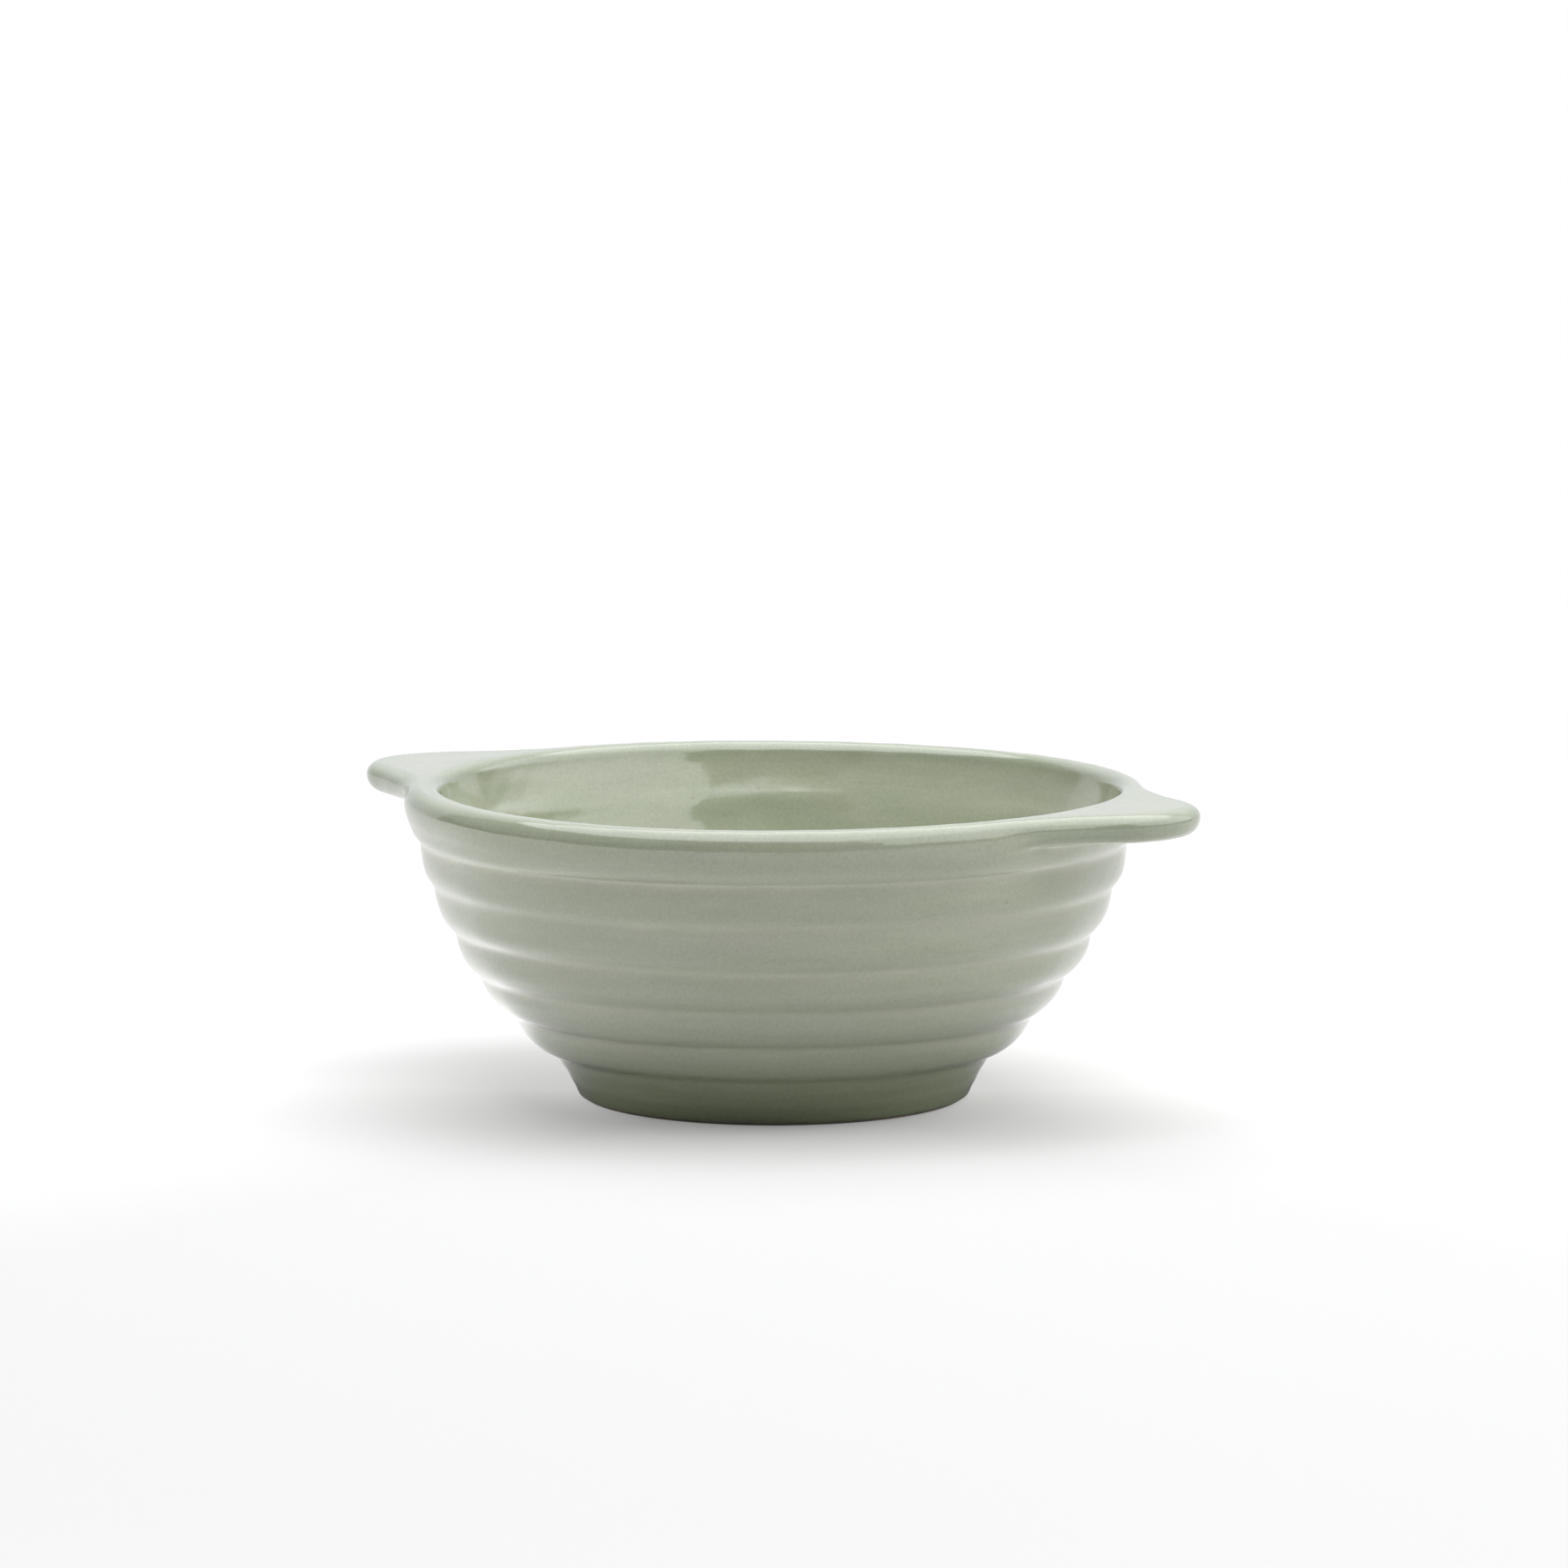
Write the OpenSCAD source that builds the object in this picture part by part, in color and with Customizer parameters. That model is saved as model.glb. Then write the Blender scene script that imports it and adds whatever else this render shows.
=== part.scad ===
// Lug soup bowl: a ribbed stoneware bowl on a flared foot, with two flat tab lugs flush with its rim.
// Millimetres. The bowl stands on the plane z = 0, its axis is Z, and the lugs point along +X and -X.
// The lean of a wall is its angle from the vertical, in degrees: 0 is upright, and 90 is level.

/* [Bowl] */
// Height from the table to the top of the rim
bowl_h = 61.5; // [54:0.5:70]
// Largest radius of the rim
rim_r = 73.5; // [70:0.5:80]
// Height of the plain band under the rim
rim_band_h = 10.75; // [8:0.25:13]
// How far the rim stands out over the groove under its band
rim_overhang = 4.15; // [3:0.05:5]
// Rounding of the rim's outer edge
rim_edge_r = 2.8; // [2:0.1:3.2]
// Width of the rim's level crest
crest_w = 1; // [0.6:0.1:2]
// Rounding of the rim's inner edge, down into the throat
throat_edge_r = 2.5; // [1.2:0.1:3]
// Wall between the grooves outside and the soft ridges inside
wall = 5; // [3.5:0.25:6.5]

/* [Ribs] */
// Lean of a rib at its top, as a share of the lean of the straight line across the rib
rib_top_lean_share = 0.21; // [0.1:0.01:0.4]
// Lean of a rib at its fullest place, as the same kind of share
rib_waist_lean_share = 0.55; // [0.45:0.01:0.75]
// How much more than that straight line a rib leans where it tucks into the groove below
rib_tuck_angle = 34; // [20:1:38]
// Swell of the soft waves inside
wave_angle = 5; // [2:1:8]

/* [Floor and foot] */
// Thickness of the floor over the recess in the base
floor_t = 5.5; // [4:0.25:7]
// Radius of the level part of the floor
floor_flat_r = 26; // [20:1:30]
// Height of the foot band
foot_h = 8.2; // [7:0.1:9.5]
// Radius of the groove over the foot band
foot_top_r = 43.2; // [41:0.1:46]
// Radius of the foot band at the table
foot_r = 38.3; // [36:0.1:40]
// Radius of the foot band's hollow curve
foot_hollow_r = 40; // [25:1:80]
// Depth of the recess in the base
foot_recess_h = 4.5; // [3:0.25:5]
// Width of the ring that the bowl stands on
foot_ring_w = 7.3; // [5:0.1:9]
// Bevel of the ring that touches the table
foot_bevel = 0.4; // [0.2:0.05:0.6]

/* [Lugs] */
// How far a lug stands out past the rim
lug_out = 16; // [12:0.5:20]
// Radius of a lug's tip, seen from above
lug_tip_r = 18; // [14:0.5:24]
// Radius of the hollow curve that leads the rim into a lug
lug_flank_r = 60; // [40:5:120]
// Thickness of a lug
lug_t = 5.7; // [5:0.1:7.5]

/* [Glaze] */
// Thickness of the glaze
glaze_t = 0.4; // [0.2:0.05:0.6]
// Height over the table at which the glaze is wiped off
glaze_wipe_h = 0.6; // [0.5:0.1:2]

/* [Hidden] */
$fn = 144;

// Heights of the grooves, from the rim's down to the foot's, as shares of the ribs' height
groove_height_share = [1, 0.795, 0.580, 0.371, 0.183, 0];
// Radii of the same grooves, as shares of the way from the foot's groove out to the rim's groove
groove_radius_share = [1, 0.896, 0.735, 0.533, 0.292, 0];
// Rise of the clay's outline for each millimetre that it lies under the glaze, which keeps the coat even
coat_rise_share = 0.6;
// Rounding of a lug's lower edge, as a share of the lug's height under its upper rounding
lug_under_share = 0.92;
// Width of the rim's level crest that a lug's root takes, as a share of the crest
lug_bed_share = 0.5;
// Stretch of a lug's flank over which the rounding of its lower edge grows from nothing, as a share of the flank
under_fade_share = 0.5;
// Largest turn between two points of a wall's curve, in degrees
curve_step = 6;
// How far a cut runs past what it cuts
overrun = 2;
// Height of the upright stretch under the throat's rounding
throat_upright_h = 0.5;

// Straight stretches along a lug's flank, round its tip and over each rounded edge
flank_steps = 8;
tip_steps = 20;
edge_steps = 5;

clay_colour = [0.80, 0.74, 0.65];
glaze_colour = [0.62, 0.66, 0.57];
inside_colour = [0.60, 0.65, 0.55];

// Leans of a wall that faces straight up, inward, and straight down, and one that is upright
up_lean = -90;
inward_lean = -180;
level_lean = 90;
upright_lean = 0;

// Levels
rim_turn_z = bowl_h - rim_edge_r;
rim_groove_z = bowl_h - rim_band_h;
throat_turn_z = bowl_h - throat_edge_r;
floor_z = foot_recess_h + floor_t;

// Radii
throat_turn_r = rim_r - rim_edge_r - crest_w;
throat_r = throat_turn_r - throat_edge_r;
rim_groove_r = rim_r - rim_overhang;
lug_joint_r = rim_r - rim_edge_r - crest_w * lug_bed_share;
past_rim_r = rim_r + overrun;
foot_recess_r = foot_r - foot_ring_w;

// Outline of the outside, from the rim's groove down to the foot's groove
grooves = [for (i = [0 : len(groove_height_share) - 1])
    [foot_top_r + (rim_groove_r - foot_top_r) * groove_radius_share[i],
     foot_h + (rim_groove_z - foot_h) * groove_height_share[i]]];
last_groove = len(grooves) - 1;

// Lean of the straight line from one outline point down to the next
function line_lean(top, foot) = atan2(top[0] - foot[0], top[1] - foot[1]);

groove_lines = [for (i = [0 : last_groove - 1]) line_lean(grooves[i], grooves[i + 1])];

// Leans of each rib at its top, at its waist and at its foot
rib_leans = [for (lean = groove_lines)
    [lean * rib_top_lean_share, lean * rib_waist_lean_share, lean + rib_tuck_angle]];

// Lean of the wall at a groove, half way between the lines above it and below it
function wall_lean(i) = (i == 0 ? groove_lines[0] : groove_lines[i - 1] + groove_lines[i]) / 2;

// Outline of the inside: the throat, a soft ridge behind each groove but the last, and the floor's edge
ridges = concat(
    [[throat_r, throat_turn_z - throat_upright_h]],
    [for (i = [0 : last_groove - 1]) grooves[i] + wall * [-cos(wall_lean(i)), sin(wall_lean(i))]],
    [[floor_flat_r, floor_z]]);
last_ridge = len(ridges) - 1;

// Lean of the wall where it turns in to the floor
well_lean = line_lean(ridges[last_ridge - 2], ridges[last_ridge - 1]);
wave_leans = concat(
    [for (i = [0 : last_ridge - 2]) let (lean = line_lean(ridges[i], ridges[i + 1]))
        [lean - wave_angle, lean, lean + wave_angle]],
    [[well_lean, (well_lean + level_lean) / 2, level_lean]]);

// The points of a list from last to first
function backward(points) = [for (i = [len(points) - 1 : -1 : 0]) points[i]];

// Outward direction of a wall with a given lean
function outward(lean) = [cos(lean), -sin(lean)];

// Points of an arc from one lean to another, without its first point
function arc(centre, radius, from, to) =
    let (steps = ceil(abs(to - from) / curve_step))
    [for (i = [1 : steps]) centre + radius * outward(from + (to - from) * i / steps)];

// Radii of the two arcs that lead from top to foot and meet in one tangent, for three given leans
function arc_radii(top, foot, leans) =
    let (run = top - foot,
         across = [cos(leans[0]) - cos(leans[1]), cos(leans[1]) - cos(leans[2])],
         down = [sin(leans[1]) - sin(leans[0]), sin(leans[2]) - sin(leans[1])],
         det = across[0] * down[1] - across[1] * down[0])
    [(run[0] * down[1] - run[1] * across[1]) / det, (run[1] * across[0] - run[0] * down[0]) / det];

// Points of one swelling of a wall, from a top point to a foot point, without the first
function swell(top, foot, leans) =
    let (radii = arc_radii(top, foot, leans),
         upper = top - radii[0] * outward(leans[0]),
         waist = upper + radii[0] * outward(leans[1]),
         lower = waist - radii[1] * outward(leans[1]))
    concat(arc(upper, radii[0], leans[0], leans[1]), arc(lower, radii[1], leans[1], leans[2]));

// Points of a stack of swellings, without the first
function swells(points, leans) =
    [for (i = [0 : len(points) - 2]) each swell(points[i], points[i + 1], leans[i])];

// The outside's grooves, taken in under the glaze by a depth
function sunk_grooves(depth) = [for (p = grooves) p + depth * [-1, coat_rise_share]];

// The inside's ridges, taken out under the glaze by a depth
function sunk_ridges(depth) = [for (p = ridges) p + depth * [1, -coat_rise_share]];

// Radius of the curve under the rim, which leaves the rim upright and ends in its groove
function belly_r(depth) =
    let (run = [rim_r - depth, rim_turn_z] - sunk_grooves(depth)[0])
    (run[0] ^ 2 + run[1] ^ 2) / (2 * run[0]);

// Radius of the rim's outside at a level under its rounded edge
function rim_radius(depth, level) =
    rim_r - depth - belly_r(depth) + sqrt(belly_r(depth) ^ 2 - (rim_turn_z - level) ^ 2);

// Lean at which a wall faces along a vector that points inward
function inward_facing(v) = inward_lean + atan2(v[1], -v[0]);

// Points of the foot band's hollow curve, from its groove to the table, without the first
function foot_curve(depth) =
    let (high = sunk_grooves(depth)[last_groove],
         low = [foot_r - depth, 0],
         run = high - low,
         centre = (low + high) / 2 + sqrt(foot_hollow_r ^ 2 / norm(run) ^ 2 - 1 / 4) * [run[1], -run[0]])
    arc(centre, foot_hollow_r, inward_facing(high - centre), inward_facing(low - centre));

// The outside from the crest's inner end over the rim, down the ribs and the foot band to the table
function outer_line(depth) =
    let (edge = [rim_r - rim_edge_r, rim_turn_z],
         belly = belly_r(depth),
         groove_lean = asin((rim_turn_z - sunk_grooves(depth)[0][1]) / belly))
    concat(
        [[throat_turn_r, bowl_h - depth], edge + (rim_edge_r - depth) * outward(up_lean)],
        arc(edge, rim_edge_r - depth, up_lean, upright_lean),
        arc([rim_r - depth - belly, rim_turn_z], belly, upright_lean, groove_lean),
        swells(sunk_grooves(depth), rib_leans),
        foot_curve(depth));

// The inside from the crest's inner end over the throat, down the wall and over the floor to the axis
function inner_line(depth) =
    let (edge = [throat_turn_r, throat_turn_z],
         points = sunk_ridges(depth))
    concat(
        [edge + (throat_edge_r - depth) * outward(up_lean)],
        arc(edge, throat_edge_r - depth, up_lean, inward_lean),
        [points[0]],
        swells(points, wave_leans),
        [[0, points[last_ridge][1]]]);

// Plan of the +X lug: the centres of its tip and of its +Y flank's hollow curve, and the angles of that
// flank's ends, seen from the axis and from the tip's centre
lug_tip_x = rim_r + lug_out - lug_tip_r;
flank_x = ((rim_r + lug_flank_r) ^ 2 - (lug_tip_r + lug_flank_r) ^ 2 + lug_tip_x ^ 2) / (2 * lug_tip_x);
flank_y = sqrt((rim_r + lug_flank_r) ^ 2 - flank_x ^ 2);
root_angle = atan2(flank_y, flank_x);
tip_angle = atan2(flank_y, flank_x - lug_tip_x);

// Levels of a lug: its underside, and the top of its rounded lower edge
lug_under_z = bowl_h - lug_t;
lug_under_r = (lug_t - rim_edge_r) * lug_under_share;
lug_side_z = lug_under_z + lug_under_r;

// Each column of a lug's outline: which curve it lies on, its angle there, and how full the lower rounding is.
// They run from the root on the +Y side round the tip to the root on the -Y side.
flank_columns = [for (i = [0 : flank_steps])
    let (share = i / flank_steps, fade = min(1, share / under_fade_share))
    [root_angle + (tip_angle - root_angle) * share, fade ^ 2 * (3 - 2 * fade)]];
tip_columns = [for (i = [1 : tip_steps - 1]) tip_angle * (1 - 2 * i / tip_steps)];
columns = concat(
    [for (c = flank_columns) [1, c[0], c[1]]],
    [for (angle = tip_columns) [0, angle, 1]],
    [for (c = backward(flank_columns)) [-1, c[0], c[1]]]);
last_column = len(columns) - 1;

// A column's place in plan, moved in from the lug's outline
function plan_point(column, inset) =
    column[0] == 0
    ? [lug_tip_x, 0] + (lug_tip_r - inset) * [cos(column[1]), sin(column[1])]
    : [flank_x, column[0] * flank_y]
      - (lug_flank_r + inset) * [cos(column[1]), column[0] * sin(column[1])];

// Each row of a lug's edge, from its underside up to its top: the rounding it lies on and its angle there
square_angle = 90;
edge_angles = [for (i = [0 : edge_steps]) square_angle * i / edge_steps];
rows = concat([for (angle = backward(edge_angles)) [-1, angle]], [for (angle = edge_angles) [1, angle]]);
last_row = len(rows) - 1;

// A point of a lug's skin at a depth under its glaze
function skin_point(row, column, depth) =
    let (over = row[0] > 0,
         radius = (over ? rim_edge_r : lug_under_r) - depth,
         level = over ? rim_turn_z : lug_side_z,
         share = over ? 1 : column[2],
         place = plan_point(column, depth + share * radius * (1 - cos(row[1]))))
    [place[0], place[1], level + row[0] * radius * sin(row[1])];

// A lug's skin, row by row
function skin_points(depth) = [for (row = rows) each [for (column = columns) skin_point(row, column, depth)]];

// Points across a lug's root at a radius and a level, from the +Y side to the -Y side, one for each column
function root_points(radius, level) =
    [for (i = [0 : last_column]) let (angle = root_angle * (1 - 2 * i / last_column))
        [radius * cos(angle), radius * sin(angle), level]];

// Numbers of a lug's skin points in one row or one column, where the list of points starts at a number
function row_of(start, row) = [for (i = [0 : last_column]) start + row * (last_column + 1) + i];
function column_of(start, column) = [for (i = [0 : last_row]) start + i * (last_column + 1) + column];
function run_of(start, count) = [for (i = [0 : count - 1]) start + i];

// Triangles between two lines of points of the same length
function strip(lower, upper) =
    [for (i = [0 : len(lower) - 2]) each [
        [lower[i], lower[i + 1], upper[i + 1]],
        [lower[i], upper[i + 1], upper[i]]]];

// Triangles over a whole skin
function skin_faces(start) =
    [for (i = [0 : last_row - 1]) each strip(row_of(start, i), row_of(start, i + 1))];

// The same triangles, facing the other way
function turned(faces) = [for (face = faces) backward(face)];

skin_count = (last_row + 1) * (last_column + 1);
root_count = last_column + 1;

// The +X lug's clay, from its joint in the rim to its tip
module lug_clay() {
    top_root = run_of(skin_count, root_count);
    under_root = run_of(skin_count + root_count, root_count);
    polyhedron(
        points = concat(
            skin_points(glaze_t),
            root_points(lug_joint_r, bowl_h - glaze_t),
            root_points(lug_joint_r, lug_under_z + glaze_t)),
        faces = concat(
            skin_faces(0),
            strip(row_of(0, last_row), top_root),
            strip(under_root, row_of(0, 0)),
            strip(top_root, under_root),
            [concat([top_root[0], under_root[0]], column_of(0, 0))],
            [backward(concat([top_root[last_column], under_root[last_column]], column_of(0, last_column)))]));
}

// The +X lug's glaze: over its top, round its sides, and under it as far in as the rim's clay
module lug_coat() {
    inner = skin_count;
    top_root = run_of(2 * skin_count, root_count);
    top_root_in = run_of(2 * skin_count + root_count, root_count);
    under_root = run_of(2 * skin_count + 2 * root_count, root_count);
    under_root_in = run_of(2 * skin_count + 3 * root_count, root_count);
    near_out = concat([under_root[0]], column_of(0, 0), [top_root[0]]);
    near_in = concat([under_root_in[0]], column_of(inner, 0), [top_root_in[0]]);
    far_out = concat([under_root[last_column]], column_of(0, last_column), [top_root[last_column]]);
    far_in = concat([under_root_in[last_column]], column_of(inner, last_column), [top_root_in[last_column]]);
    polyhedron(
        points = concat(
            skin_points(0),
            skin_points(glaze_t),
            root_points(lug_joint_r, bowl_h),
            root_points(lug_joint_r, bowl_h - glaze_t),
            root_points(rim_radius(glaze_t, lug_under_z), lug_under_z),
            root_points(rim_radius(glaze_t, lug_under_z + glaze_t), lug_under_z + glaze_t)),
        faces = concat(
            skin_faces(0),
            turned(skin_faces(inner)),
            strip(row_of(0, last_row), top_root),
            strip(under_root, row_of(0, 0)),
            turned(strip(row_of(inner, last_row), top_root_in)),
            turned(strip(under_root_in, row_of(inner, 0))),
            strip(top_root, top_root_in),
            strip(under_root_in, under_root),
            strip(backward(near_in), backward(near_out)),
            strip(backward(far_out), backward(far_in))));
}

// The seats of both lugs' roots in the rim, from a level upward
module lug_seats(level) {
    root = [for (p = root_points(lug_joint_r, 0)) [p[0], p[1]]];
    past = past_rim_r / cos(root_angle / last_column);
    rim = [for (p = root_points(past, 0)) [p[0], p[1]]];
    for (side = [0, 1])
        mirror([side, 0, 0])
            translate([0, 0, level])
                linear_extrude(lug_t + overrun) polygon(concat(root, backward(rim)));
}

// Stoneware body: floor, ribbed wall and rim
module bowl_body() {
    color(clay_colour)
        difference() {
            rotate_extrude()
                difference() {
                    polygon(concat(outer_line(glaze_t), [[0, 0]], backward(inner_line(glaze_t))));
                    translate([0, -overrun]) square([past_rim_r, foot_recess_h + overrun]);
                }
            lug_seats(lug_under_z + glaze_t);
        }
}

// Stoneware ring that the bowl stands on, bevelled where it touches the table
module foot_ring() {
    outer = foot_r - glaze_t - foot_bevel;
    color(clay_colour)
        rotate_extrude()
            intersection() {
                polygon(concat(outer_line(glaze_t), [[0, 0], [0, bowl_h - glaze_t]]));
                polygon([
                    [foot_recess_r + foot_bevel, 0],
                    [outer, 0],
                    [outer + foot_recess_h, foot_recess_h],
                    [foot_recess_r, foot_recess_h],
                    [foot_recess_r, foot_bevel]]);
            }
}

// Lug on the +X side
module right_lug() {
    color(clay_colour) lug_clay();
}

// Lug on the -X side
module left_lug() {
    color(clay_colour) mirror([1, 0, 0]) lug_clay();
}

// Glaze over the rim, the ribs and the foot band, down to where it is wiped off
module outside_glaze() {
    color(glaze_colour)
        difference() {
            rotate_extrude()
                difference() {
                    polygon(concat(outer_line(0), backward(outer_line(glaze_t))));
                    translate([0, -overrun]) square([past_rim_r, glaze_wipe_h + overrun]);
                }
            lug_seats(lug_under_z);
        }
}

// Glaze on the crest, the inner wall and the floor
module inside_glaze() {
    color(inside_colour) rotate_extrude() polygon(concat(inner_line(0), backward(inner_line(glaze_t))));
}

// Glaze in the recess of the base
module base_glaze() {
    color(glaze_colour)
        translate([0, 0, foot_recess_h - glaze_t]) cylinder(r = foot_recess_r, h = glaze_t);
}

// Glaze on the +X lug
module right_lug_glaze() {
    color(glaze_colour) lug_coat();
}

// Glaze on the -X lug
module left_lug_glaze() {
    color(glaze_colour) mirror([1, 0, 0]) lug_coat();
}

bowl_body();
foot_ring();
left_lug();
right_lug();
outside_glaze();
inside_glaze();
base_glaze();
left_lug_glaze();
right_lug_glaze();
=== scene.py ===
import math

import bpy
import numpy as np
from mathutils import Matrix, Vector


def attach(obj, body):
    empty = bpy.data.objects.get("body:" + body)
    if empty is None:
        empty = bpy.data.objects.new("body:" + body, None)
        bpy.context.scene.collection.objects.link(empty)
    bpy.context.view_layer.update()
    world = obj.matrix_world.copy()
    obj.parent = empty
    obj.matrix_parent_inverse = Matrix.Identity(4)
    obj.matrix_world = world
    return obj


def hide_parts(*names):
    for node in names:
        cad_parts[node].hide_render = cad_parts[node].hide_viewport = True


# The looks of a ribbed lug soup bowl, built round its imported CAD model. Sizes here are in millimetres,
# as in the part's source, until a mesh is made. The bowl's axis is Z and its lugs point along X.
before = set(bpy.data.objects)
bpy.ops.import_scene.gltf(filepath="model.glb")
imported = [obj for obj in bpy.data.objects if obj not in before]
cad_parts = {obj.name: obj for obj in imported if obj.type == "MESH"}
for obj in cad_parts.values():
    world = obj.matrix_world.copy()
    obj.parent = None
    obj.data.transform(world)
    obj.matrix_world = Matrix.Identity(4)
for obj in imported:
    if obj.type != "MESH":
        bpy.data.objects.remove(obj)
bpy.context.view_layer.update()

MM = 0.001
TINY = 1e-7
QUARTER = math.pi / 2

# Sizes of the bowl, as in the part's source
BOWL_H = 61.5
RIM_R = 73.5
RIM_BAND_H = 10.75
RIM_OVERHANG = 4.15
RIM_EDGE_R = 2.8
CREST_W = 1.0
THROAT_EDGE_R = 2.5
THROAT_UPRIGHT_H = 0.5
WALL = 5.0
RIB_TOP_LEAN_SHARE = 0.21
RIB_WAIST_LEAN_SHARE = 0.55
RIB_TUCK = math.radians(34)
WAVE = math.radians(5)
FLOOR_Z = 10.0
FLOOR_FLAT_R = 26.0
FOOT_H = 8.2
FOOT_TOP_R = 43.2
FOOT_R = 38.3
FOOT_HOLLOW_R = 40.0
FOOT_RECESS_H = 4.5
FOOT_RECESS_R = 31.0
GLAZE_T = 0.4
GLAZE_WIPE_H = 0.6
GROOVE_HEIGHT_SHARES = (1, 0.795, 0.580, 0.371, 0.183, 0)
GROOVE_RADIUS_SHARES = (1, 0.896, 0.735, 0.533, 0.292, 0)

# Sizes of the lugs. From its root on, a lug and its round underside grow in over a share of each flank.
LUG_OUT = 16.0
LUG_TIP_R = 18.0
LUG_FLANK_R = 60.0
LUG_T = 5.7
LUG_UNDER_R = 3.0
UNDER_FADE_SHARE = 0.5
LUG_FADE_SHARE = 0.45

# How far below the top the glazed edge is widest, round the rim and on the lugs
RIM_EDGE_H = 3.4
LUG_EDGE_H = 2.4

# How finely the glaze's mesh is divided
ROWS_INSIDE = 62
ROWS_THROAT = 14
ROWS_TOP = 12
ROWS_EDGE = 12
ROWS_SIDE = 34
ROWS_RIBS = 92
ROWS_FOOT = 16
ROWS_LIP = 3
COLUMNS_FLANK = 28
COLUMNS_TIP = 34
COLUMNS_PLAIN = 150
TOP_CROWDING = 1.7
SMOOTHING_PASSES = 3
CENTRE_R = 0.6

# How finely the lines are drawn that are then divided evenly
STEPS_ARC = 24
STEPS_FOOT = 60
STEPS_EDGE_SIDE = 4
STEPS_EDGE_UNDER = 12
STEPS_UNDERSIDE = 23
STEPS_BELLY = 15

# Where the photograph was taken from, and the view that it framed
CAMERA_AZIMUTH = math.radians(26.7)
CAMERA_DISTANCE = 1379.9
CAMERA_HEIGHT = 236.4
CAMERA_PITCH = math.radians(7.22)
CAMERA_LENS = 162.2
CAMERA_SENSOR = 36
CAMERA_SHIFT_X = 0.0065
CAMERA_SIGHT = 50000


# Profiles

def outward(lean):
    """Direction in which a wall with a given lean faces, as radius and height."""
    return np.array([np.cos(lean), -np.sin(lean)])


def arc(centre, radius, start, end):
    """Points of an arc from one lean to another, without its first point."""
    leans = np.linspace(start, end, STEPS_ARC + 1)[1:]
    return centre + radius * np.stack([np.cos(leans), -np.sin(leans)], axis=1)


def swell(top, foot, leans):
    """Points of one swelling of a wall, without its first: two arcs that meet in one tangent."""
    run = top - foot
    across = np.cos(leans[0]) - np.cos(leans[1]), np.cos(leans[1]) - np.cos(leans[2])
    down = np.sin(leans[1]) - np.sin(leans[0]), np.sin(leans[2]) - np.sin(leans[1])
    det = across[0] * down[1] - across[1] * down[0]
    upper_r = (run[0] * down[1] - run[1] * across[1]) / det
    lower_r = (run[1] * across[0] - run[0] * down[0]) / det
    upper = top - upper_r * outward(leans[0])
    waist = upper + upper_r * outward(leans[1])
    lower = waist - lower_r * outward(leans[1])
    return np.concatenate([arc(upper, upper_r, leans[0], leans[1]),
                           arc(lower, lower_r, leans[1], leans[2])])


def line_lean(top, foot):
    """Lean of the straight line from one point down to the next."""
    return math.atan2(top[0] - foot[0], top[1] - foot[1])


def spaced(points, count):
    """The same line with evenly spaced points."""
    points = np.asarray(points, dtype=float)
    steps = np.linalg.norm(np.diff(points, axis=0), axis=1)
    keep = np.concatenate([[True], steps > TINY])
    points = points[keep]
    run = np.concatenate([[0], np.cumsum(np.linalg.norm(np.diff(points, axis=0), axis=1))])
    marks = np.linspace(0, run[-1], count + 1)
    return np.stack([np.interp(marks, run, points[:, k]) for k in range(points.shape[1])], axis=1)


RIM_TURN_Z = BOWL_H - RIM_EDGE_R
RIM_GROOVE = np.array([RIM_R - RIM_OVERHANG, BOWL_H - RIM_BAND_H])
FOOT_GROOVE = np.array([FOOT_TOP_R, FOOT_H])
CREST_R = RIM_R - RIM_EDGE_R - CREST_W
THROAT_R = CREST_R - THROAT_EDGE_R
THROAT_TURN_Z = BOWL_H - THROAT_EDGE_R

grooves = [FOOT_GROOVE + (RIM_GROOVE - FOOT_GROOVE) * np.array([r_share, z_share])
           for z_share, r_share in zip(GROOVE_HEIGHT_SHARES, GROOVE_RADIUS_SHARES)]
groove_leans = [line_lean(a, b) for a, b in zip(grooves, grooves[1:])]


def rib_line():
    """The ribs from the rim's groove down to the foot's groove."""
    line = [grooves[0][None]]
    for top, foot, lean in zip(grooves, grooves[1:], groove_leans):
        leans = lean * RIB_TOP_LEAN_SHARE, lean * RIB_WAIST_LEAN_SHARE, lean + RIB_TUCK
        line.append(swell(top, foot, leans))
    return np.concatenate(line)


def foot_line():
    """The foot band's hollow curve, from its groove to the place where the glaze is wiped off."""
    low = np.array([FOOT_R, 0.0])
    run = FOOT_GROOVE - low
    half = math.sqrt(FOOT_HOLLOW_R ** 2 / (run @ run) - 0.25)
    centre = (low + FOOT_GROOVE) / 2 + half * np.array([run[1], -run[0]])
    start = math.atan2(*(FOOT_GROOVE - centre)[::-1])
    end = math.atan2(*(low - centre)[::-1])
    if end - start > math.pi:
        end -= 2 * math.pi
    if start - end > math.pi:
        end += 2 * math.pi
    turns = np.linspace(start, end, STEPS_FOOT)
    line = centre + FOOT_HOLLOW_R * np.stack([np.cos(turns), np.sin(turns)], axis=1)
    return line[line[:, 1] > GLAZE_WIPE_H]


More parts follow.
